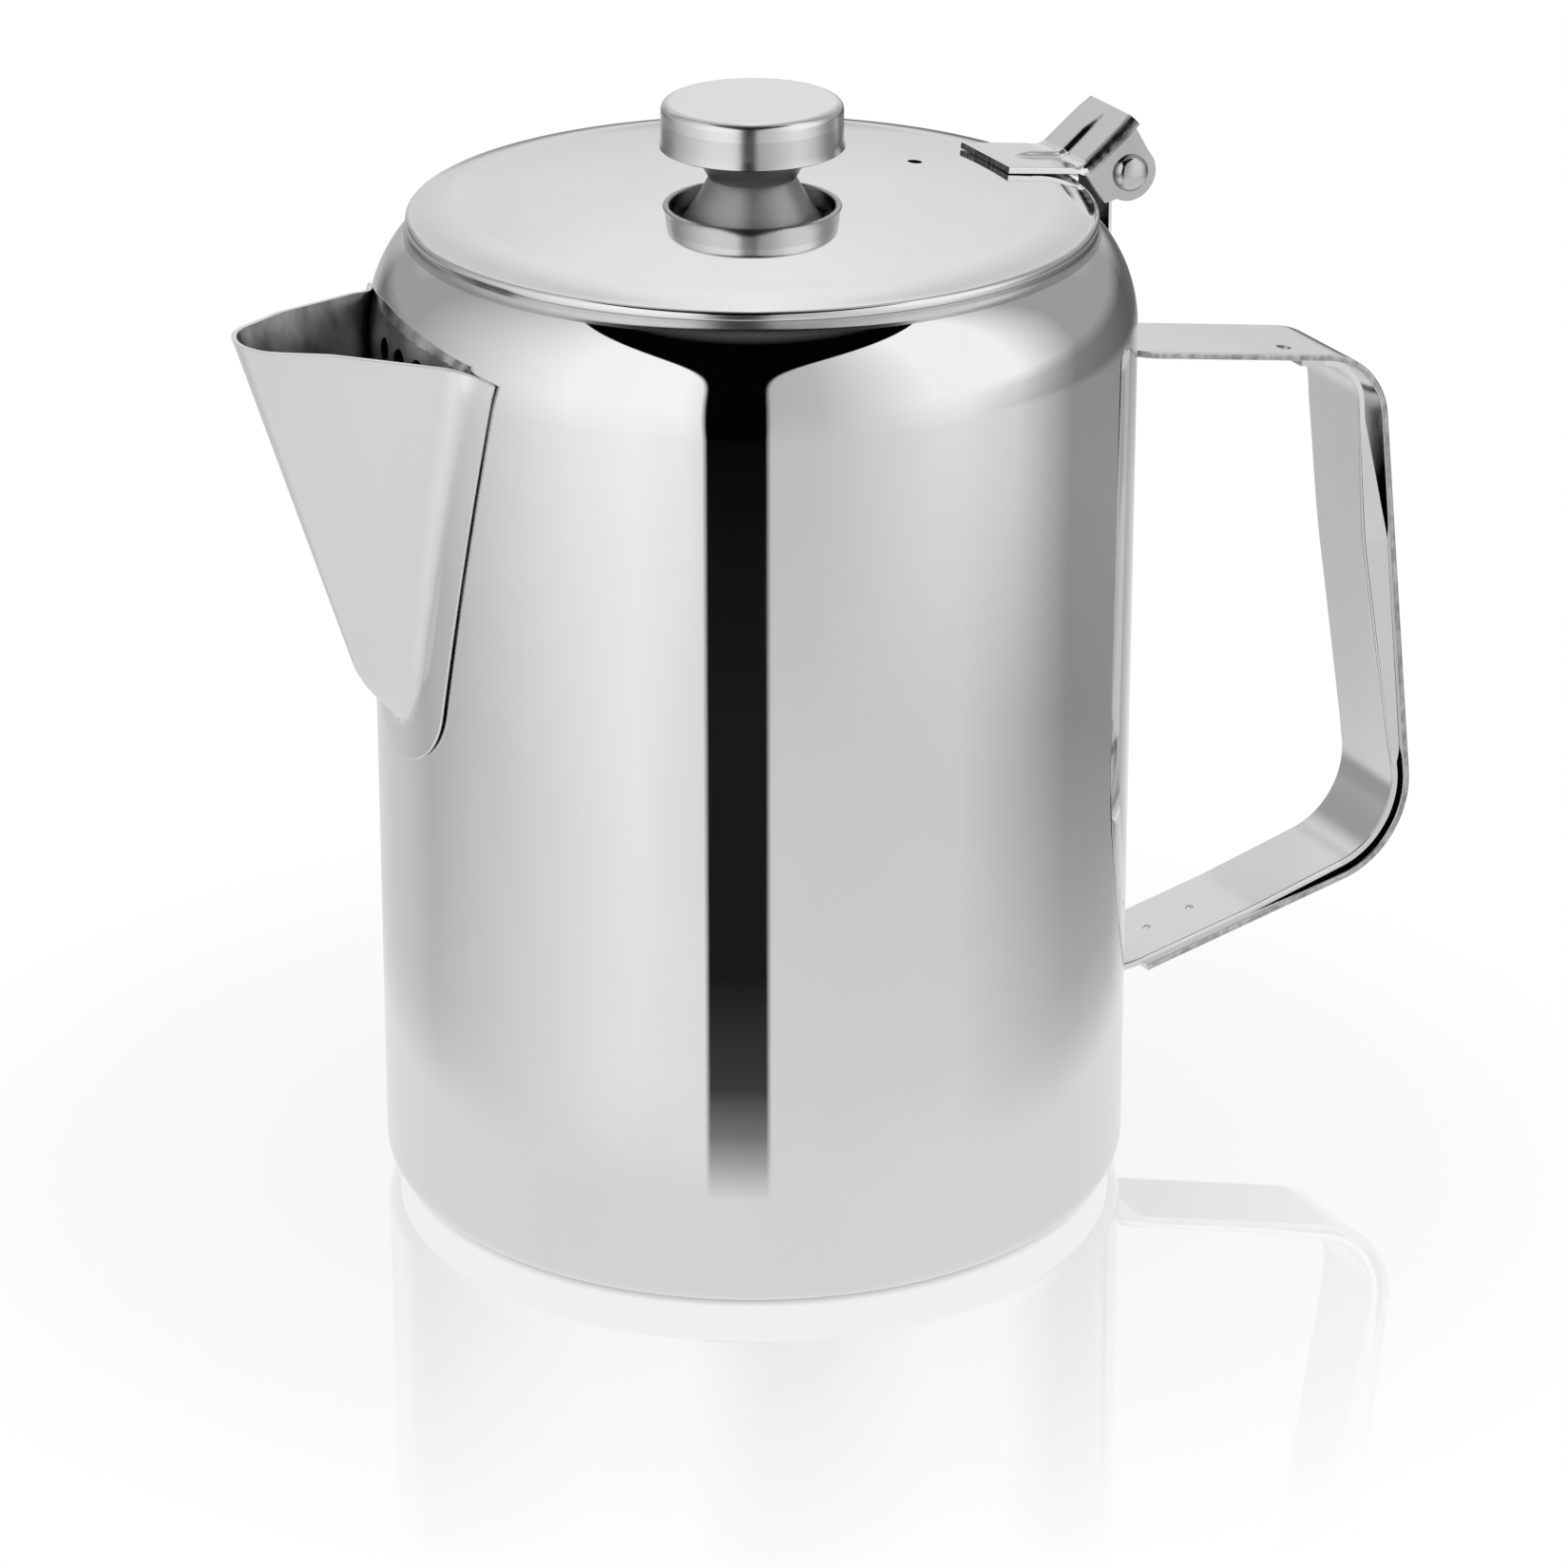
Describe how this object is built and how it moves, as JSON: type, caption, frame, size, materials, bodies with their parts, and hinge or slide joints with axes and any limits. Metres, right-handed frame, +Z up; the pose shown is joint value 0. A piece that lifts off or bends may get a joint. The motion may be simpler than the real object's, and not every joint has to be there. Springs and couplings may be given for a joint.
{
  "type": "coffee pot",
  "caption": "Straight-sided sheet steel coffee pot with a pouring spout, strap handle and hinged lid with thumb lever.",
  "frame": {"origin": "centre of the base, in the plane of the table it stands on", "axes": "+Z up along the pot's axis; +X from the spout towards the handle and lid hinge; XZ is the plane of symmetry"},
  "size_m": [0.213, 0.125, 0.1856],
  "materials": {
    "polished_steel": "mirror polished stainless steel",
    "satin_steel": "satin stainless steel"
  },
  "bodies": {
    "pot": {"body_shell": "polished_steel", "spout_shell": "polished_steel", "handle_outer_strap": "polished_steel", "handle_inner_strap": "polished_steel", "hinge_bracket": "polished_steel", "hinge_rivet": "satin_steel"},
    "lid": {"lid_shell": "polished_steel", "hinge_leaf": "polished_steel", "knob_cap": "polished_steel", "knob_stem": "satin_steel"}
  },
  "joints": [
    {"name": "lid_hinge", "type": "hinge", "parent": "pot", "child": "lid", "pos_m": [0.0651, 0, 0.1674], "axis": [0, 1, 0], "range_deg": [0, 105]}
  ]
}
